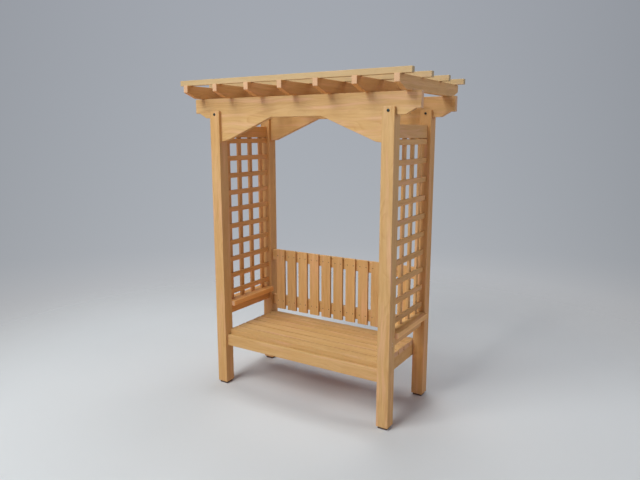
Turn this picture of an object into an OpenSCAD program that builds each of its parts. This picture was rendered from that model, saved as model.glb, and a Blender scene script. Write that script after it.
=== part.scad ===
// Arbor bench: a slatted garden seat between two lattice sides, under an open rafter roof.
// Origin on the ground at the middle of the plan; X runs along the seat, the front faces -Y, Z is up.

/* [Overall] */
// Width over the outsides of the posts
frame_w = 1532; // [1300:2:1800]
// Depth over the outsides of the posts
frame_d = 712; // [600:2:900]
// Side of the square posts
post_w = 89; // [75:1:125]
// Thickness of the structural boards
board_t = 38; // [32:1:50]
// Width of the common boards
board_w = 89; // [75:1:120]
// Height of the pads under the posts
foot_h = 15; // [10:1:30]
// Side of the square pads
foot_w = 71; // [60:1:89]

/* [Roof] */
// Height of the beams' top edge above the ground
beam_top_z = 2277; // [2100:1:2500]
// Depth of a beam between its haunches
beam_h = 143; // [120:1:190]
// How far a beam runs past the outside of the posts
beam_overhang = 164; // [80:1:250]
// Depth of the squared end of a beam
beam_end_h = 107; // [80:1:143]
// Length of the squared end of a beam, along its lower edge
beam_end_l = 38; // [20:1:60]
// Length of the sloping cut behind the squared end, along the beam
beam_cut_l = 64; // [20:1:100]
// Depth of a beam where its haunch meets the post
haunch_h = 319; // [200:1:400]
// Length of the blunt toe of a haunch
haunch_toe_l = 55; // [0:1:120]
// Rise of the blunt toe of a haunch
haunch_toe_rise = 9; // [0:1:40]
// Distance from the middle of a beam to the upper end of its haunch
haunch_x = 212; // [100:1:400]
// Height of the post tongues above the beam seat
tongue_h = 51; // [30:1:100]
// Number of rafters
rafter_count = 7; // [5:2:11]
// Distance between rafters, centre to centre
rafter_pitch = 283; // [200:1:400]
// Length of a rafter
rafter_l = 1034; // [800:2:1300]
// Depth of the square tip of a rafter
rafter_tip_h = 51; // [30:1:89]
// Length of the sloping cut under a rafter tail
rafter_cut_l = 107; // [50:1:200]
// Number of purlins
purlin_count = 4; // [2:1:6]
// Distance between purlins, centre to centre
purlin_pitch = 311; // [200:1:400]

/* [Sides] */
// Height of the arm tops above the ground
arm_top_z = 684; // [600:1:750]
// Width of an arm
arm_w = 140; // [100:1:180]
// Depth of the rail on edge under an arm
arm_rail_h = 72; // [40:1:89]
// Height of the underside of the side top rails
side_rail_z = 1987; // [1800:1:2100]
// Width of a lattice strip
strip_w = 38; // [25:1:50]
// Thickness of a lattice strip
strip_t = 19; // [10:1:25]
// Number of level strips in a lattice
level_count = 10; // [5:1:14]
// Distance between level strips, centre to centre
level_pitch = 134.6; // [100:0.1:200]
// Gap between the top level strip and the rail above it
level_gap = 7; // [0:1:60]
// Number of upright strips in a lattice
upright_count = 4; // [2:1:6]
// Distance between upright strips, centre to centre
upright_pitch = 137; // [80:1:200]

/* [Seat] */
// Height of the seat above the ground
seat_top_z = 455; // [400:1:500]
// Number of seat slats
seat_slat_count = 6; // [4:1:8]
// Gap between seat slats
seat_gap = 12; // [5:1:25]

/* [Backrest] */
// Height of the slats' lower ends above the ground
back_low_z = 492; // [460:1:600]
// Height of the slats' upper ends above the ground
back_top_z = 1025; // [850:1:1150]
// Number of backrest slats
back_slat_count = 11; // [7:2:15]
// Distance between backrest slats, centre to centre
back_slat_pitch = 116; // [95:1:125]
// Width of a backrest slat
back_slat_w = 87; // [60:1:90]
// Thickness of a backrest slat
back_slat_t = 19; // [12:1:25]
// Height of the slats' upper ends above the upper backrest rail
back_rail_drop = 11; // [0:1:60]
// Height of the lower backrest rail above the slats' lower ends
back_rail_rise = 29; // [0:1:60]

/* [Hidden] */

// Middles of the posts, and their inner faces
post_x = (frame_w - post_w) / 2;
post_y = (frame_d - post_w) / 2;
bay_x = frame_w / 2 - post_w;
bay_y = frame_d / 2 - post_w;
// Seat for the beam at the bottom of the post's slot, and the post's top
beam_seat_z = beam_top_z - beam_h;
post_top_z = beam_seat_z + tongue_h;
beam_x = frame_w / 2 + beam_overhang;
rafter_z = beam_top_z;
purlin_z = rafter_z + board_w;
arm_z = arm_top_z - board_t;
seat_z = seat_top_z - board_t;
apron_z = seat_z - board_w;
seat_pitch = board_w + seat_gap;
slat_y = post_y - board_t / 2 - back_slat_t;

timber = [0.80, 0.63, 0.43];
timber_deep = [0.74, 0.56, 0.37];
pad_dark = [0.16, 0.15, 0.15];

// A box laid from its lowest corner
module board(x, y, z, size) {
    translate([x, y, z]) cube(size);
}

// One pad, set a little inside the post that stands on it
module foot(side_x, side_y) {
    translate([side_x * post_x - foot_w / 2, side_y * post_y - foot_w / 2, 0])
        cube([foot_w, foot_w, foot_h]);
}

module feet() {
    color(pad_dark)
        for (side_x = [-1, 1], side_y = [-1, 1])
            foot(side_x, side_y);
}

// A post with a slot through its top, where the beam drops in
module post(side_x, side_y) {
    color(timber)
        translate([side_x * post_x - post_w / 2, side_y * post_y - post_w / 2, 0])
            difference() {
                translate([0, 0, foot_h]) cube([post_w, post_w, post_top_z - foot_h]);
                translate([-1, (post_w - board_t) / 2, beam_seat_z])
                    cube([post_w + 2, board_t, tongue_h + 1]);
            }
}

// Right half of a beam's outline, from the middle of the lower edge out to the squared end
function beam_half() = [
    [haunch_x, beam_seat_z],
    [bay_x - haunch_toe_l, beam_top_z - haunch_h + haunch_toe_rise],
    [bay_x, beam_top_z - haunch_h],
    [bay_x, beam_seat_z],
    [beam_x - beam_end_l - beam_cut_l, beam_seat_z],
    [beam_x - beam_end_l, beam_top_z - beam_end_h],
    [beam_x, beam_top_z - beam_end_h],
    [beam_x, beam_top_z]
];

module beam(side_y) {
    half = beam_half();
    last = len(half) - 1;
    other_half = [for (i = [last : -1 : 0]) [-half[i][0], half[i][1]]];
    color(timber)
        translate([0, side_y * post_y + board_t / 2, 0])
            rotate([90, 0, 0])
                linear_extrude(height = board_t)
                    polygon(concat(half, other_half));
}

// A rafter on edge, with both tails cut away underneath
module rafter(place) {
    tip_y = rafter_l / 2;
    tip_z = board_w - rafter_tip_h;
    cut_y = tip_y - rafter_cut_l;
    x = (place - (rafter_count + 1) / 2) * rafter_pitch;
    color(timber)
        translate([x - board_t / 2, 0, rafter_z])
            rotate([90, 0, 90])
                linear_extrude(height = board_t)
                    polygon([
                        [-tip_y, board_w], [-tip_y, tip_z], [-cut_y, 0],
                        [cut_y, 0], [tip_y, tip_z], [tip_y, board_w]
                    ]);
}

module purlin(place) {
    y = (place - (purlin_count + 1) / 2) * purlin_pitch;
    color(timber)
        board(-beam_x, y - board_t / 2, purlin_z, [2 * beam_x, board_t, board_t]);
}

// Boards between a front and a back post, in the middle of the posts' width
module side_board(side_x, width, z, height) {
    board(side_x * post_x - width / 2, -bay_y, z, [width, 2 * bay_y, height]);
}

module side_rail(side_x) {
    color(timber) side_board(side_x, board_t, side_rail_z, board_w);
}

module arm(side_x) {
    color(timber) side_board(side_x, arm_w, arm_z, board_t);
}

module arm_rail(side_x) {
    color(timber) side_board(side_x, board_t, arm_z - arm_rail_h, arm_rail_h);
}

// Upright strips with level strips laid on their right-hand faces, fused where they cross
module lattice(side_x) {
    mid_x = side_x * post_x;
    top_z = side_rail_z - level_gap - strip_w;
    color(timber_deep) {
        for (i = [0 : upright_count - 1]) {
            y = (i - (upright_count - 1) / 2) * upright_pitch;
            board(mid_x - strip_t, y - strip_w / 2, arm_top_z,
                  [strip_t, strip_w, side_rail_z - arm_top_z]);
        }
        for (i = [0 : level_count - 1])
            board(mid_x, -bay_y, top_z - i * level_pitch, [strip_t, 2 * bay_y, strip_w]);
    }
}

module seat_apron(side_y) {
    color(timber)
        board(-bay_x, side_y * post_y - board_t / 2, apron_z, [2 * bay_x, board_t, board_w]);
}

// A rail on edge between the aprons, against the inner faces of the posts
module seat_rail(side_x) {
    inner_y = post_y - board_t / 2;
    color(timber)
        board(side_x * (bay_x - board_t / 2) - board_t / 2, -inner_y, apron_z,
              [board_t, 2 * inner_y, board_w]);
}

module seat_slat(place) {
    y = (place - (seat_slat_count + 1) / 2) * seat_pitch;
    color(timber)
        board(-bay_x, y - board_w / 2, seat_z, [2 * bay_x, board_w, board_t]);
}

module back_rail(z) {
    color(timber_deep)
        board(-bay_x, post_y - board_t / 2, z, [2 * bay_x, board_t, board_w]);
}

// The row of upright slats on the front of the two backrest rails
module back_slats() {
    color(timber_deep)
        for (i = [0 : back_slat_count - 1]) {
            x = (i - (back_slat_count - 1) / 2) * back_slat_pitch;
            board(x - back_slat_w / 2, slat_y, back_low_z,
                  [back_slat_w, back_slat_t, back_top_z - back_low_z]);
        }
}

feet();
post(-1, -1);  // post_front_left
post(1, -1);  // post_front_right
post(-1, 1);  // post_back_left
post(1, 1);  // post_back_right
beam(-1);  // beam_front
beam(1);  // beam_back
rafter(1);  // rafter_1
rafter(2);  // rafter_2
rafter(3);  // rafter_3
rafter(4);  // rafter_4
rafter(5);  // rafter_5
rafter(6);  // rafter_6
rafter(7);  // rafter_7
purlin(1);  // purlin_1
purlin(2);  // purlin_2
purlin(3);  // purlin_3
purlin(4);  // purlin_4
side_rail(-1);  // side_rail_left
side_rail(1);  // side_rail_right
lattice(-1);  // lattice_left
lattice(1);  // lattice_right
arm(-1);  // arm_left
arm(1);  // arm_right
arm_rail(-1);  // arm_rail_left
arm_rail(1);  // arm_rail_right
seat_apron(-1);  // seat_apron_front
seat_apron(1);  // seat_apron_back
seat_rail(-1);  // seat_rail_left
seat_rail(1);  // seat_rail_right
seat_slat(1);  // seat_slat_1
seat_slat(2);  // seat_slat_2
seat_slat(3);  // seat_slat_3
seat_slat(4);  // seat_slat_4
seat_slat(5);  // seat_slat_5
seat_slat(6);  // seat_slat_6
back_rail(back_top_z - back_rail_drop - board_w);  // back_rail_upper
back_rail(back_low_z + back_rail_rise);  // back_rail_lower
back_slats();
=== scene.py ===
"""The looks of the arbor bench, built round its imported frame. Metres, Z up, the open front faces -Y."""
import math
import random

import bmesh
import bpy
from mathutils import Matrix, Vector


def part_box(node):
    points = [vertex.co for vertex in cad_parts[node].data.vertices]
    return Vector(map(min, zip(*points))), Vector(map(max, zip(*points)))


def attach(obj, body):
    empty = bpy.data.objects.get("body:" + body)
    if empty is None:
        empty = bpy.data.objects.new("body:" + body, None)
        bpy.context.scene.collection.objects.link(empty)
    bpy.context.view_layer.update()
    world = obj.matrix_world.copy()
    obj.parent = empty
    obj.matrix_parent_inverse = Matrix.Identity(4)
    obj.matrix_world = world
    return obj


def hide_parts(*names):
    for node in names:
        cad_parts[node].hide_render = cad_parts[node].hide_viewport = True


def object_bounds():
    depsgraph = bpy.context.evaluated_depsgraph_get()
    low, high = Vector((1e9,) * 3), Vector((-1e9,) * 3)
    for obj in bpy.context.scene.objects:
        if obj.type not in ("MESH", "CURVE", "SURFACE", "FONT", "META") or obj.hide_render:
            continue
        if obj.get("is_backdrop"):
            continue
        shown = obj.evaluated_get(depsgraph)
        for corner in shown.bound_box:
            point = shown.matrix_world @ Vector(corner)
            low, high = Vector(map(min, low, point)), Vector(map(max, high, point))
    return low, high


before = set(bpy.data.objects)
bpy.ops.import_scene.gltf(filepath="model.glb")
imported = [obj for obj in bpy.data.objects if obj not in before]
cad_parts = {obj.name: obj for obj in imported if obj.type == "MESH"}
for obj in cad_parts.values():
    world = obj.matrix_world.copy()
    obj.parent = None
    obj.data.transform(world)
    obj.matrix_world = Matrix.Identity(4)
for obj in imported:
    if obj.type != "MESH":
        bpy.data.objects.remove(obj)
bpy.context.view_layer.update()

scene = bpy.context.scene
draw = random.Random(11)


# ---- Posts ----
# Four square posts of pale, clear softwood, sawn, planed and oiled a light honey colour. The back two, which
# stand in shade, are painted redder as painted shade, and the front left one a little. Their corners are
# sanded round, and each is slotted across the top to take a beam.

def wired(tree, kind, feeds, **options):
    """Adds a shader node and feeds each of its inputs a number, a colour or another node's output."""
    node = tree.nodes.new(kind)
    for name, value in options.items():
        setattr(node, name, value)
    for place, value in feeds.items():
        socket = node.inputs[place]
        if isinstance(value, bpy.types.NodeSocket):
            tree.links.new(value, socket)
        else:
            socket.default_value = value
    return node


def maths(tree, operation, *values, clamp=False):
    """Adds a Math node and returns its result."""
    node = wired(tree, "ShaderNodeMath", dict(enumerate(values)), operation=operation, use_clamp=clamp)
    return node.outputs[0]


def figure(tree, place, scale, detail=2.0):
    """A soft random pattern, with its own number of features per metre along, across and through the wood."""
    spot = wired(tree, "ShaderNodeVectorMath", {0: place, 1: scale}, operation="MULTIPLY").outputs[0]
    return wired(tree, "ShaderNodeTexNoise", {"Vector": spot, "Scale": 1.0, "Detail": detail}).outputs["Fac"]


def tinted(tree, share, under, over, blend="MIX"):
    """Lays one colour over another, by a share from 0 to 1."""
    feeds = {"Factor": share, 6: under, 7: over}
    return wired(tree, "ShaderNodeMix", feeds, data_type="RGBA", blend_type=blend).outputs[2]


def ramped(tree, share, stops, kind="LINEAR"):
    """A run of colours over a share from 0 to 1."""
    ramp = wired(tree, "ShaderNodeValToRGB", {"Fac": share})
    ramp.color_ramp.interpolation = kind
    elements = ramp.color_ramp.elements
    while len(elements) < len(stops):
        elements.new(0.5)
    for element, (spot, colour) in zip(elements, stops):
        element.position = spot
        element.color = (*colour, 1)
    return ramp.outputs[0]


def new_material(name):
    """A fresh material, with its node tree and its shader."""
    material = bpy.data.materials.new(name)
    material.use_nodes = True
    return material, material.node_tree, material.node_tree.nodes["Principled BSDF"]


def roughened(tree, shader, height, strength, depth):
    """Gives a shader a relief of this depth in metres."""
    bump = wired(tree, "ShaderNodeBump", {"Height": height, "Strength": strength, "Distance": depth})
    tree.links.new(bump.outputs[0], shader.inputs["Normal"])


def softwood():
    """Oiled softwood as a solid: growth rings round a pith, streaks and fibres along it, and sawn end grain.

    Place is a spot in the tree, with the grain along x, and End is 1 on a sawn end. Tone makes a board
    lighter, Faded greyer, and the last input redder: painted shade, set highest on the pieces that stand
    in shade, for the redder light there.
    """
    pale, late = (0.652, 0.448, 0.198, 1), (0.503, 0.280, 0.097, 1)
    amber, pink = (0.560, 0.332, 0.106, 1), (0.765, 0.484, 0.317, 1)
    end_pale, end_late = (0.690, 0.480, 0.305, 1), (0.50, 0.27, 0.125, 1)
    faded_tone, shade_red_tone = (0.46, 0.39, 0.23, 1), (1.02, 0.80, 0.62, 1)
    sway_scale, sway_reach = (2.6, 5.0, 5.0), (0, 0.05, 0.05)
    ring_width, slow_wave, quick_wave = 0.0075, 0.060, 0.005
    ring_shades = ((0.0, 0.0), (0.52, 0.12), (0.86, 1.0), (0.95, 0.85), (1.0, 0.0))
    fibre_shade, tone_step = 0.20, 0.07
    late_shine, end_dullness, late_rise = -0.10, 0.22, 0.7

    tree = bpy.data.node_groups.new("softwood", "ShaderNodeTree")
    for name, way, kind in (("Place", "INPUT", "Vector"), ("End", "INPUT", "Float"),
                            ("Tone", "INPUT", "Float"), ("Faded", "INPUT", "Float"),
                            ("Shade_red", "INPUT", "Float"), ("Colour", "OUTPUT", "Color"),
                            ("Roughness", "OUTPUT", "Float"), ("Height", "OUTPUT", "Float")):
        tree.interface.new_socket(name, in_out=way, socket_type="NodeSocket" + kind)
    inlet, outlet = tree.nodes.new("NodeGroupInput"), tree.nodes.new("NodeGroupOutput")
    place, end, tone = inlet.outputs["Place"], inlet.outputs["End"], inlet.outputs["Tone"]

    # The grain sways from side to side on its way up the trunk.
    sway = wired(tree, "ShaderNodeVectorMath", {0: place, 1: sway_scale}, operation="MULTIPLY").outputs[0]
    sway = wired(tree, "ShaderNodeTexNoise", {"Vector": sway, "Scale": 1.0, "Detail": 1.0}).outputs["Color"]
    place = wired(tree, "ShaderNodeVectorMath", {0: sway, 1: sway_reach, 2: place},
                  operation="MULTIPLY_ADD").outputs[0]

    def patches(scale, gain, shift, detail=2.0):
        """Soft patches in the wood: the gain sets how sharp they are, and the shift how much they cover."""
        return maths(tree, "MULTIPLY_ADD", figure(tree, place, scale, detail), gain, shift, clamp=True)

    # Rings: the distance from the pith, pushed about by slow waves along the trunk.
    spread = wired(tree, "ShaderNodeVectorMath", {0: place, 1: (0, 1, 1)}, operation="MULTIPLY").outputs[0]
    radius = wired(tree, "ShaderNodeVectorMath", {0: spread}, operation="LENGTH").outputs["Value"]
    radius = maths(tree, "MULTIPLY_ADD", figure(tree, place, (1.6, 4.0, 4.0)), slow_wave, radius)
    radius = maths(tree, "MULTIPLY_ADD", figure(tree, place, (7.0, 26.0, 26.0)), quick_wave, radius)
    ring = maths(tree, "FRACT", maths(tree, "DIVIDE", radius, ring_width))
    ring = ramped(tree, ring, [(spot, (shade, shade, shade)) for spot, shade in ring_shades])
    dark_ring = maths(tree, "MULTIPLY", ring, patches((2.2, 26.0, 26.0), 2.4, -0.75))

    # Streaks that run a few hand spans, the shorter flecks between them, and the fibres.
    streak = patches((1.6, 36.0, 36.0), 3.0, -1.15, detail=3.0)
    fleck = patches((5.5, 95.0, 95.0), 4.0, -2.05)
    blush = patches((2.2, 34.0, 34.0), 4.0, -2.05)
    fibre = figure(tree, place, (22.0, 820.0, 820.0))

    # Each of these is laid over the pale early wood by its own share.
    wood = pale
    for mark, share, colour in ((dark_ring, 0.7, late), (streak, 0.62, amber), (fleck, 0.55, late),
                                (blush, 0.55, pink)):
        wood = tinted(tree, maths(tree, "MULTIPLY", mark, share), wood, colour)
    # Painted shade: the last input makes the boards that stand in shade redder, for the redder light there.
    wood = tinted(tree, inlet.outputs["Shade_red"], wood, shade_red_tone, "MULTIPLY")

    # The sawn ends show whole rings, and on a faded board are greyed nearly twice as much as the sides.
    sawn = tinted(tree, maths(tree, "MULTIPLY", ring, 0.55), end_pale, end_late)
    wood = tinted(tree, maths(tree, "MULTIPLY", end, 0.8), wood, sawn)
    greying = maths(tree, "MULTIPLY_ADD", end, 0.9, 1.0)
    greying = maths(tree, "MULTIPLY", inlet.outputs["Faded"], greying, clamp=True)
    wood = tinted(tree, greying, wood, faded_tone)

    # Fibres and the board's own tone lighten or darken it. Late wood stands a little proud and shines more.
    value = maths(tree, "MULTIPLY_ADD", fibre, fibre_shade, 0.90)
    value = maths(tree, "MULTIPLY_ADD", tone, tone_step, value)
    shaded = wired(tree, "ShaderNodeHueSaturation", {"Color": wood, "Value": value})
    rough = maths(tree, "MULTIPLY_ADD", dark_ring, late_shine, 0.62)
    rough = maths(tree, "MULTIPLY_ADD", end, end_dullness, rough)
    height = maths(tree, "MULTIPLY_ADD", dark_ring, late_rise, fibre)
    for name, result in (("Colour", shaded.outputs[0]), ("Roughness", rough), ("Height", height)):
        tree.links.new(result, outlet.inputs[name])
    return tree


clear_softwood = softwood()
grain_turns = {"x": (0, 0, 0), "y": (0, 0, -math.pi / 2), "z": (0, math.pi / 2, 0)}
grain_axes = {"x": Vector((1, 0, 0)), "y": Vector((0, 1, 0)), "z": Vector((0, 0, 1))}


def into_tree(grain):
    """The turn that takes a board with its grain along x, y or z back to how it lay in the tree."""
    return Matrix.Rotation(grain_turns[grain][2], 3, "Z") @ Matrix.Rotation(grain_turns[grain][1], 3, "Y")


def pith_beside(centre, reach):
    """The move that takes a board with this middle and half-width to its place beside the tree's pith."""
    nearest, farthest, trunk = 0.035, 0.085, 40
    angle = draw.uniform(0, 2 * math.pi)
    gap = draw.uniform(nearest, farthest) + reach
    return Vector((draw.uniform(-trunk, trunk), gap * math.cos(angle), gap * math.sin(angle))) - centre


def oiled(name, place, end, tone=0.0, faded=0.0, shade_red=0.0):
    """The finish of one piece of timber, fed with the place in the grain and the share of end grain."""
    material, tree, shader = new_material(name)
    wood = wired(tree, "ShaderNodeGroup", {}, node_tree=clear_softwood)
    tree.links.new(place(tree), wood.inputs["Place"])
    tree.links.new(end(tree), wood.inputs["End"])
    for share, value in (("Tone", tone), ("Faded", faded), ("Shade_red", shade_red)):
        wood.inputs[share].default_value = value
    tree.links.new(wood.outputs["Colour"], shader.inputs["Base Color"])
    tree.links.new(wood.outputs["Roughness"], shader.inputs["Roughness"])
    roughened(tree, shader, wood.outputs["Height"], 0.35, 0.0006)
    shader.inputs["Specular IOR Level"].default_value = 0.35
    return material


def sand(piece, width):
    """Joins the split corners of a sawn timber and rounds them, and leaves its own mesh as it is."""
    weld = piece.modifiers.new("joined", "WELD")
    weld.merge_threshold = 0.00005
    bevel = piece.modifiers.new("sanded", "BEVEL")
    bevel.width, bevel.segments = width, 3
    bevel.limit_method, bevel.angle_limit = "ANGLE", math.radians(20)


def timber(node, grain, corner=0.003, tone=0.0, faded=0.0, shade_red=0.0):
    """Gives a sawn timber its grain along x, y or z, from its own place in the tree, and sanded corners.

    Tone is how much lighter it is than its neighbours, faded its share of grey weathering, and the last its
    share of painted red shade, set highest on the pieces that stand in shade.
    """
    low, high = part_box(node)
    pith = pith_beside(into_tree(grain) @ ((low + high) / 2), sorted(high - low)[1] / 2)

    def place(tree):
        spot = wired(tree, "ShaderNodeTexCoord", {}).outputs["Object"]
        feeds = {"Vector": spot, "Rotation": grain_turns[grain], "Location": pith}
        return wired(tree, "ShaderNodeMapping", feeds).outputs[0]

    def end(tree):
        # 0 on the long faces and 1 on the sawn ends.
        facing = wired(tree, "ShaderNodeTexCoord", {}).outputs["Normal"]
        feeds = {0: facing, 1: grain_axes[grain]}
        along = wired(tree, "ShaderNodeVectorMath", feeds, operation="DOT_PRODUCT")
        share = maths(tree, "ABSOLUTE", along.outputs["Value"])
        return maths(tree, "MULTIPLY_ADD", share, 2.5, -1.2, clamp=True)

    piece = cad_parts[node]
    piece.data.materials.clear()
    board_tone = tone + draw.uniform(-0.4, 0.4)
    piece.data.materials.append(oiled(node, place, end, board_tone, faded, shade_red))
    sand(piece, corner)


for node, shade_red in (("post_front_left", 0.2), ("post_front_right", 0.0), ("post_back_left", 0.6),
                    ("post_back_right", 0.5)):
    timber(node, "z", corner=0.004, shade_red=shade_red)


# ---- Pads ----
# A square pad of dark moulded plastic under each post, matt and browned with dust. It is a little smaller
# than the post, with a rounded foot, a shallow groove round its waist and a recess underneath for the
# screw that holds it.

def dusty_plastic():
    """Matt moulded plastic with a fine grit, scuffed and dusty in places."""
    material, tree, shader = new_material("pad_plastic")
    spot = wired(tree, "ShaderNodeTexCoord", {}).outputs["Object"]
    scuff = figure(tree, spot, (60.0, 60.0, 60.0), 3.0)
    grit = figure(tree, spot, (900.0, 900.0, 900.0))
    colour = tinted(tree, scuff, (0.060, 0.036, 0.026, 1), (0.105, 0.066, 0.048, 1))
    tree.links.new(colour, shader.inputs["Base Color"])
    tree.links.new(maths(tree, "MULTIPLY_ADD", scuff, 0.25, 0.55), shader.inputs["Roughness"])
    roughened(tree, shader, grit, 0.3, 0.0004)
    return material


def rounded_square(side, radius):
    """The plan of a square with rounded corners, anticlockwise."""
    points, steps = [], 6
    for turn in range(4):
        centre = Matrix.Rotation(turn * math.pi / 2, 2) @ Vector((side / 2 - radius, side / 2 - radius))
        for i in range(steps + 1):
            angle = (turn + i / steps) * math.pi / 2
            points.append(centre + radius * Vector((math.cos(angle), math.sin(angle))))
    return points


def loft(shape, rings):
    """Skins a stack of equal rings of points and closes both ends."""
    rows = [[shape.verts.new(point) for point in ring] for ring in rings]
    count = len(rows[0])
    for low_row, high_row in zip(rows, rows[1:]):
        for i in range(count):
            j = (i + 1) % count
            shape.faces.new((low_row[i], low_row[j], high_row[j], high_row[i]))
    shape.faces.new(reversed(rows[0]))
    shape.faces.new(rows[-1])


def made(name, shape, material):
    """Turns finished mesh code into a piece of the bench."""
    bmesh.ops.recalc_face_normals(shape, faces=shape.faces)
    mesh = bpy.data.meshes.new(name)
    shape.to_mesh(mesh)
    shape.free()
    mesh.materials.append(material)
    piece = bpy.data.objects.new(name, mesh)
    scene.collection.objects.link(piece)
    return piece


pad_low, pad_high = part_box("feet")
post_low, post_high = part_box("post_front_left")
post_side = post_high.x - post_low.x
post_x, post_y = -(post_low.x + post_high.x) / 2, -(post_low.y + post_high.y) / 2
pad_side = 2 * (pad_high.x - post_x)
pad_height = pad_high.z - pad_low.z
pad_corner, least_corner = 0.003, 0.002
pads = bmesh.new()
# Inset from the pad's full side, and height, of each ring from the screw recess out and up the side.
pad_profile = ((0.028, 0.0025), (0.0265, 0.0), (0.0012, 0.0), (0.0004, 0.0004), (0.0, 0.0012), (0.0, 0.0078),
               (0.0006, 0.0084), (0.0006, 0.0096), (0.0, 0.0102), (0.0, pad_height - 0.0008),
               (0.0008, pad_height))
for side_x in (-1, 1):
    for side_y in (-1, 1):
        rings = []
        for inset, height in pad_profile:
            plan = rounded_square(pad_side - 2 * inset, max(pad_corner - inset, least_corner))
            rings.append([(p.x + side_x * post_x, p.y + side_y * post_y, height) for p in plan])
        loft(pads, rings)
pad_piece = made("pads", pads, dusty_plastic())
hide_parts("feet")
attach(pad_piece, "root")


# ---- Beams ----
# Two deep softwood boards on edge, dropped into the slots of the posts. Each is band-sawn from one board,
# with a long haunch down to each post and its ends cut back underneath.

timber("beam_front", "x")
# The back beam's face stands in shade under the roof, and is painted a little redder as painted shade.
timber("beam_back", "x", shade_red=0.2)


# ---- Bolts ----
# One coach bolt through the tongues of each post and the beam between them: a low domed head on the outer
# face, and a washer and a hexagon nut on the inner face. Blackened steel, with a dull oily sheen.

def blackened_steel():
    """Steel with a dark oiled skin that is bluer and duller in patches."""
    material, tree, shader = new_material("blackened_steel")
    spot = wired(tree, "ShaderNodeTexCoord", {}).outputs["Object"]
    bloom = figure(tree, spot, (180.0, 180.0, 180.0), 3.0)
    colour = tinted(tree, bloom, (0.018, 0.026, 0.028, 1), (0.055, 0.072, 0.072, 1))
    tree.links.new(colour, shader.inputs["Base Color"])
    tree.links.new(maths(tree, "MULTIPLY_ADD", bloom, 0.3, 0.25), shader.inputs["Roughness"])
    roughened(tree, shader, bloom, 0.15, 0.0003)
    shader.inputs["Metallic"].default_value = 0.85
    return material


def ringed(shape, centre, axis, sides, profile):
    """Lofts rings round an axis, each a distance along it and the reach of its points at any angle."""
    spin = Vector((0, 0, 1)).rotation_difference(axis).to_matrix()
    angles = [2 * math.pi * i / sides for i in range(sides)]
    rings = [[centre + spin @ Vector((reach(angle) * math.cos(angle), reach(angle) * math.sin(angle), out))
              for angle in angles] for out, reach in profile]
    loft(shape, rings)


def turned(shape, centre, axis, profile, flats=None):
    """A shape of (radius, distance along the axis) rings, as from a lathe, or a bar with this many flats."""
    def reach_at(radius):
        if not flats:
            return lambda angle: radius
        step = 2 * math.pi / flats
        return lambda angle: radius * math.cos(step / 2) / math.cos(angle % step - step / 2)

    ringed(shape, centre, axis, 24, [(out, reach_at(radius)) for radius, out in profile])


def chamfered(radius, start, end, inward, down):
    """The rings of a disc or bar, with a small chamfer at its far end."""
    return [(radius, start), (radius, end - down), (radius - inward, end)]


head_radius, head_rise = 0.0105, 0.0052
washer_radius, washer_thick = 0.0088, 0.0016
nut_radius, nut_rise = 0.0075, 0.0065
shank_radius, shank_rise = 0.0040, 0.0030
root, nut_root, shank_root = 0.001, 0.0004, 0.0005
rim, dome_steps = 0.0008, 8
tongue_height = 0.051
bolt_z = post_high.z - tongue_height / 2
# Each starts a hair inside what it stands on, so that no gap shows under it.
head = [(head_radius, -root)]
for i in range(dome_steps):
    angle = math.pi / 2 * i / dome_steps
    head.append((head_radius * math.cos(angle), rim + head_rise * math.sin(angle)))
nut_end = washer_thick + nut_rise
washer = chamfered(washer_radius, -root, washer_thick, 0.0003, 0.0003)
nut = chamfered(nut_radius, washer_thick - nut_root, nut_end, 0.0012, 0.001)
shank = chamfered(shank_radius, nut_end - shank_root, nut_end + shank_rise, 0.0008, 0.0008)
bolts = bmesh.new()
for side_x in (-1, 1):
    for side_y in (-1, 1):
        outward = Vector((0, side_y, 0))
        outer = Vector((side_x * post_x, side_y * (post_y + post_side / 2), bolt_z))
        inner = Vector((side_x * post_x, side_y * (post_y - post_side / 2), bolt_z))
        turned(bolts, outer, outward, head)
        turned(bolts, inner, -outward, washer)
        turned(bolts, inner, -outward, nut, flats=6)
        turned(bolts, inner, -outward, shank)
bolt_piece = made("bolts", bolts, blackened_steel())
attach(bolt_piece, "root")


# ---- Seat frame ----
# A front and a back apron on edge between the posts, and a rail on edge between them at each side, all of
# the same softwood board, screwed together as a box that the seat slats lie on.

timber("seat_apron_front", "x")
timber("seat_apron_back", "x")
timber("seat_rail_left", "y")
timber("seat_rail_right", "y")


# ---- Seat slats ----
# Six flat boards of the same softwood, laid along the seat with narrow gaps. They are screwed to the frame
# from below, so that their tops are clear, and their corners are barely sanded.

# The slats take a small share of the red that is painted on the shaded pieces as painted shade.
for number in range(1, 7):
    timber(f"seat_slat_{number}", "x", corner=0.0015, shade_red=0.2)


# ---- Backrest rails ----
# An upper and a lower softwood board on edge, screwed between the back posts. They are set back from the
# posts' front faces, so that the slats fit in front of them.

# Both stand in shade behind the slats, and are painted redder as painted shade.
timber("back_rail_upper", "x", shade_red=0.4)
timber("back_rail_lower", "x", shade_red=0.4)


# ---- Backrest slats ----
# Eleven thin upright softwood slats on the front of the rails, each held by two screws at either rail.
# Each slat is a ripped and planed strip with sanded corners.

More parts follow.
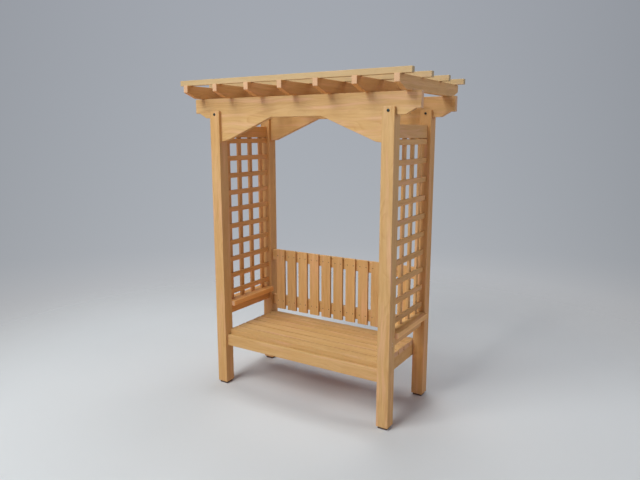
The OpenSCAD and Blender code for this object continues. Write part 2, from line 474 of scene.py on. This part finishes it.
def strip(shape, layers, low, high, grain, corner):
    """One straight planed strip with sanded corners, cut from its own place in the tree."""
    size, middle = high - low, (low + high) / 2
    placed = Matrix.Translation(middle) @ Matrix.Diagonal((*size, 1))
    fresh = bmesh.ops.create_cube(shape, size=1.0, matrix=placed)
    edges = {edge for vert in fresh["verts"] for edge in vert.link_edges}
    old = set(shape.verts) - set(fresh["verts"])
    bmesh.ops.bevel(shape, geom=list(edges), offset=corner, segments=2, profile=0.5, affect="EDGES")
    turn = into_tree(grain)
    pith = pith_beside(turn @ middle, sorted(size)[1] / 2)
    tone = draw.uniform(-1, 1)
    for vert in shape.verts:
        if vert not in old:
            vert[layers["grain_place"]] = turn @ vert.co + pith
            vert[layers["tone"]] = tone
            along = abs((vert.co - middle).dot(grain_axes[grain]))
            sawn_from = size.dot(grain_axes[grain]) / 2 - corner * 0.2
            vert[layers["end"]] = 1.0 if along > sawn_from else 0.0


def grain_layers(shape):
    """What each point of a strip notes: its place in the tree, the strip's tone, and whether it is an end."""
    return {"grain_place": shape.verts.layers.float_vector.new("grain_place"),
            "tone": shape.verts.layers.float.new("tone"), "end": shape.verts.layers.float.new("end")}


def noted(name, output):
    """A reader of one of those values, for a material's nodes."""
    return lambda tree: wired(tree, "ShaderNodeAttribute", {}, attribute_name=name).outputs[output]


def strip_finish(name, shade_red=0.0):
    """The finish of many strips in one piece, which note their own place in the grain and tone."""
    material = oiled(name, noted("grain_place", "Vector"), noted("end", "Fac"), shade_red=shade_red)
    tree = material.node_tree
    wood = next(node for node in tree.nodes if node.type == "GROUP")
    tree.links.new(noted("tone", "Fac")(tree), wood.inputs["Tone"])
    return material


slats_low, slats_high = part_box("back_slats")
slat_count, slat_width, slat_corner = 11, 0.087, 0.002
slat_pitch = (slats_high.x - slats_low.x - slat_width) / (slat_count - 1)
slats = bmesh.new()
layers = grain_layers(slats)
for i in range(slat_count):
    left = slats_low.x + i * slat_pitch
    strip(slats, layers, Vector((left, slats_low.y, slats_low.z)),
          Vector((left + slat_width, slats_high.y, slats_high.z)), "z", slat_corner)
# The slats stand in shade under the roof, and are painted somewhat redder as painted shade.
slat_piece = made("backrest_slats", slats, strip_finish("backrest_slats", 0.4))
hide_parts("back_slats")
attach(slat_piece, "root")


# ---- Backrest screws ----
# Steel screws with a square drive, two at each crossing of a slat and a rail, bronze-brown from their
# coating. Each is driven in until only the bevelled rim of its head stands proud of the slat.

def screw_steel(name, worn, bright, metallic):
    """The skin of a steel screw head, with small changes of colour, shine and smoothness from wear."""
    material, tree, shader = new_material(name)
    spot = wired(tree, "ShaderNodeTexCoord", {}).outputs["Object"]
    wear = figure(tree, spot, (420.0, 420.0, 420.0), 3.0)
    tree.links.new(tinted(tree, wear, worn, bright), shader.inputs["Base Color"])
    tree.links.new(maths(tree, "MULTIPLY_ADD", wear, 0.3, 0.3), shader.inputs["Roughness"])
    roughened(tree, shader, wear, 0.2, 0.0001)
    shader.inputs["Metallic"].default_value = metallic
    return material


def screw(shape, centre, axis):
    """A screw head: a flat disc with a bevelled rim and a square drive socket sunk in it."""
    radius, drive, edge, depth = 0.0042, 0.0014, 0.0005, 0.0018
    quarter = math.pi / 2

    def disc(angle):
        return radius

    def inner_disc(angle):
        return radius - edge

    def square(angle):
        return drive / math.cos((angle + quarter / 2) % quarter - quarter / 2)

    ringed(shape, centre, axis, 16, [(-root, disc), (0.0, disc), (edge, inner_disc), (edge, square),
                                     (edge - depth, square)])


screw_offset = 0.028
screws = bmesh.new()
for rail in ("back_rail_lower", "back_rail_upper"):
    rail_low, rail_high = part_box(rail)
    for i in range(slat_count):
        middle = slats_low.x + i * slat_pitch + slat_width / 2
        for side in (-1, 1):
            centre = Vector((middle + side * screw_offset, slats_low.y, (rail_low.z + rail_high.z) / 2))
            screw(screws, centre, Vector((0, -1, 0)))
coated = screw_steel("coated_screw", (0.045, 0.024, 0.012, 1), (0.12, 0.070, 0.036, 1), 0.7)
screw_piece = made("backrest_screws", screws, coated)
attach(screw_piece, "root")


# ---- Arms ----
# At each side a softwood rail on edge, screwed between the posts, and a wide flat board on it as the arm.
# The arm is painted paler all over, as painted light for the stronger light on its top, and its corners are
# sanded rounder for the hands. The left arm and rail stand in shade, and are painted redder as painted shade.

for side, shade_red in (("left", 0.9), ("right", 0.2)):
    timber(f"arm_rail_{side}", "y", shade_red=shade_red)
    # The raised tone is painted light: it lightens the arm for the light that falls on its top.
    timber(f"arm_{side}", "y", corner=0.004, tone=4.0, shade_red=shade_red)


# ---- Post screws ----
# Two bright plated steel screws, one above the other, driven into the outer face of each post at the height
# of the arm rail, until only the bevelled rims of their heads stand proud.

rail_low, rail_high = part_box("arm_rail_right")
rail_middle = (rail_low.z + rail_high.z) / 2
screw_rise, screw_inward = 0.009, 0.009
post_screws = bmesh.new()
for side_x in (-1, 1):
    for side_y in (-1, 1):
        for rise in (-screw_rise, screw_rise):
            centre = Vector((side_x * (post_x + post_side / 2), side_y * (post_y - screw_inward),
                             rail_middle + rise))
            screw(post_screws, centre, Vector((side_x, 0, 0)))
plated = screw_steel("plated_screw", (0.70, 0.54, 0.46, 1), (0.85, 0.70, 0.62, 1), 0.9)
post_screw_piece = made("post_screws", post_screws, plated)
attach(post_screw_piece, "root")


# ---- Lattices ----
# Square trellis of thin planed softwood strips at each side: four uprights that stand on the arm, and ten
# level strips nailed across their right-hand faces, from post to post.

strip_width, strip_corner = 0.038, 0.0015
upright_count, upright_pitch = 4, 0.137
level_count, level_pitch, level_gap = 10, 0.1346, 0.007
# The left lattice stands in shade, and is painted much redder than the right as painted shade.
for side, shade_red in (("left", 0.9), ("right", 0.3)):
    low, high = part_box(f"lattice_{side}")
    trellis = bmesh.new()
    layers = grain_layers(trellis)
    middle = (low + high) / 2
    for i in range(upright_count):
        y = middle.y + (i - (upright_count - 1) / 2) * upright_pitch
        strip(trellis, layers, Vector((low.x, y - strip_width / 2, low.z)),
              Vector((middle.x, y + strip_width / 2, high.z)), "z", strip_corner)
    level_top = high.z - level_gap
    for i in range(level_count):
        z = level_top - i * level_pitch
        strip(trellis, layers, Vector((middle.x, low.y, z - strip_width)), Vector((high.x, high.y, z)), "y",
              strip_corner)
    lattice = made(f"trellis_{side}", trellis, strip_finish(f"trellis_{side}", shade_red))
    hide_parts(f"lattice_{side}")
    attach(lattice, "root")


# ---- Side rails ----
# A softwood board on edge at each side, screwed between the posts, with the lattice standing up to its
# underside. The left one stands in shade, and is painted redder as painted shade, as the lattice and the arm
# under it are.

timber("side_rail_left", "y", shade_red=0.9)
timber("side_rail_right", "y", shade_red=0.2)


# ---- Rafters ----
# Seven softwood boards on edge laid across the two beams and screwed down to them, with the underside of
# both tails sawn off at a slope. All but the last stand with their sides in shade, and are painted redder as
# painted shade.

for number in range(1, 8):
    timber(f"rafter_{number}", "y", shade_red=0.8 if number < 7 else 0.2)


# ---- Purlins ----
# Four square softwood strips laid along the tops of the rafters and screwed down into them. They lie
# open to the weather, and have gone half grey.

for number in range(1, 5):
    timber(f"purlin_{number}", "x", corner=0.002, faded=0.5)


# ---- Floor and backdrop ----
# A pale grey studio floor that takes the shadows and throws a warm light back. Well away from the bench it
# gives way, straight on and in reflections, to a soft grey backdrop that is lightest at the foot and
# darkens upwards and to both sides.

def seen_ray(tree):
    """1 for rays that see a surface straight, in a reflection or through glass, and 0 for those of light."""
    rays = tree.nodes.new("ShaderNodeLightPath").outputs
    straight = maths(tree, "MAXIMUM", rays["Is Camera Ray"], rays["Is Glossy Ray"])
    return maths(tree, "MAXIMUM", straight, rays["Is Transmission Ray"])


floor_radius, clear_from, clear_to = 14.0, 2.3, 4.6
warm_return, seen_grey = (0.80, 0.56, 0.42, 1), (0.707, 0.735, 0.750, 1)
paint, tree, floor_shader = new_material("floor")
floor_shader.inputs["Roughness"].default_value = 0.9
spot = wired(tree, "ShaderNodeTexCoord", {}).outputs["Object"]
radius = wired(tree, "ShaderNodeVectorMath", {0: spot}, operation="LENGTH").outputs["Value"]
away = wired(tree, "ShaderNodeMapRange", {"Value": radius, "From Min": clear_from, "From Max": clear_to},
             interpolation_type="SMOOTHSTEP").outputs[0]
away = maths(tree, "MULTIPLY", away, seen_ray(tree))
tree.links.new(tinted(tree, seen_ray(tree), warm_return, seen_grey), floor_shader.inputs["Base Color"])
clear = tree.nodes.new("ShaderNodeBsdfTransparent")
blend = wired(tree, "ShaderNodeMixShader", {0: away, 1: floor_shader.outputs[0], 2: clear.outputs[0]})
tree.links.new(blend.outputs[0], tree.nodes["Material Output"].inputs["Surface"])
floor_shape = bmesh.new()
bmesh.ops.create_circle(floor_shape, cap_ends=True, segments=96, radius=floor_radius)
made("floor", floor_shape, paint)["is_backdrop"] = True

# The light of the room: pale blue-grey from all round the horizon, and nearly none from overhead.
horizon_light, overhead_light = (0.50, 0.50, 0.67, 1), (0.02, 0.02, 0.02, 1)
scene.world = bpy.data.worlds.new("studio")
scene.world.use_nodes = True
tree = scene.world.node_tree
sky = tree.nodes["Background"]
sky.inputs["Strength"].default_value = 0.96
way = wired(tree, "ShaderNodeTexCoord", {}).outputs["Generated"]
climb = wired(tree, "ShaderNodeSeparateXYZ", {0: way}).outputs[2]
rise = wired(tree, "ShaderNodeMapRange", {"Value": climb, "From Min": 0.2, "From Max": 0.5},
             interpolation_type="SMOOTHSTEP").outputs[0]
tree.links.new(tinted(tree, rise, horizon_light, overhead_light), sky.inputs["Color"])

# The backdrop that shows instead of that light: a run of greys up from the foot, dimmer to both sides of
# the middle, and a little more so on the right.
greys = ((0.10, (0.62, 0.62, 0.62)), (0.26, (0.60, 0.60, 0.605)), (0.34, (0.52, 0.53, 0.55)),
         (0.41, (0.410, 0.434, 0.470)), (0.58, (0.395, 0.420, 0.460)), (0.82, (0.360, 0.382, 0.425)))
foot, rightward = 0.6, (0.848, 0.529, 0)
side_dim, side_reach, right_dim = -0.78, 0.24, -0.06
backdrop = ramped(tree, maths(tree, "ADD", climb, foot, clamp=True), greys, "B_SPLINE")
across = wired(tree, "ShaderNodeVectorMath", {0: way, 1: rightward}, operation="DOT_PRODUCT").outputs["Value"]
spread = maths(tree, "MINIMUM", maths(tree, "MULTIPLY", across, across), side_reach)
dim = maths(tree, "MULTIPLY_ADD", spread, side_dim, 1.0)
dim = maths(tree, "MULTIPLY_ADD", across, right_dim, dim)
grey = wired(tree, "ShaderNodeVectorMath", {0: backdrop, "Scale": dim}, operation="SCALE").outputs[0]
seen = wired(tree, "ShaderNodeBackground", {"Color": grey})
mix = wired(tree, "ShaderNodeMixShader", {0: seen_ray(tree), 1: sky.outputs[0], 2: seen.outputs[0]})
tree.links.new(mix.outputs[0], tree.nodes["World Output"].inputs["Surface"])


# ---- Lamps ----
# Seven soft lamps out of the camera's sight: a large key from the front left with a small low one beside it,
# weak fills from low in front and from both sides, and two high ones that light the tops.

def lamp(name, side, height, distance, size, power, colour=(1, 1, 1)):
    """A square soft lamp, at this many degrees round to the left of the front and above level."""
    bench_middle = Vector((0, 0, 1.1))
    data = bpy.data.lights.new(name, "AREA")
    data.shape = "SQUARE"
    data.size, data.energy, data.color = size, power, colour
    item = bpy.data.objects.new(name, data)
    scene.collection.objects.link(item)
    round_left, up = math.radians(side), math.radians(height)
    way = Vector((-math.sin(round_left) * math.cos(up), -math.cos(round_left) * math.cos(up), math.sin(up)))
    item.location = bench_middle + way * distance
    item.rotation_mode = "QUATERNION"
    item.rotation_quaternion = way.to_track_quat("Z", "Y")
    item.visible_camera = False


key_colour = (0.98, 0.98, 0.95)
lamp("key", 19, 44.3, 8.5, 4.0, 384, key_colour)
lamp("low_key", 3, 32.3, 8.5, 0.8, 79, key_colour)
lamp("front_fill", 8, 12, 7.0, 2.5, 25, (0.90, 1.0, 1.15))
lamp("left_fill", 95, 25, 6.0, 1.4, 26, (0.92, 1.0, 1.0))
lamp("right_fill", -100, 25, 6.0, 1.4, 40)
lamp("high_front", 0, 66, 6.0, 2.4, 42)
lamp("high_back", 168, 68, 6.0, 2.4, 132)


# ---- Camera ----
# Two metres up and to the right of the front, level from side to side, and tipped down a little at the
# bench. Its view takes in the whole bench with some floor round it.

camera_data = bpy.data.cameras.new("camera")
camera_data.sensor_width = 36.0
camera_data.lens = 32.06
camera = bpy.data.objects.new("camera", camera_data)
scene.collection.objects.link(camera)
camera.location = (2.2891, -3.6720, 2.0098)
turn, tilt = math.radians(31.958), math.radians(10.467)
look = Vector((-math.sin(turn) * math.cos(tilt), math.cos(turn) * math.cos(tilt), -math.sin(tilt)))
camera.rotation_mode = "QUATERNION"
camera.rotation_quaternion = look.to_track_quat("-Z", "Y")
scene.camera = camera
scene.view_settings.view_transform = "Standard"

low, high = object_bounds()
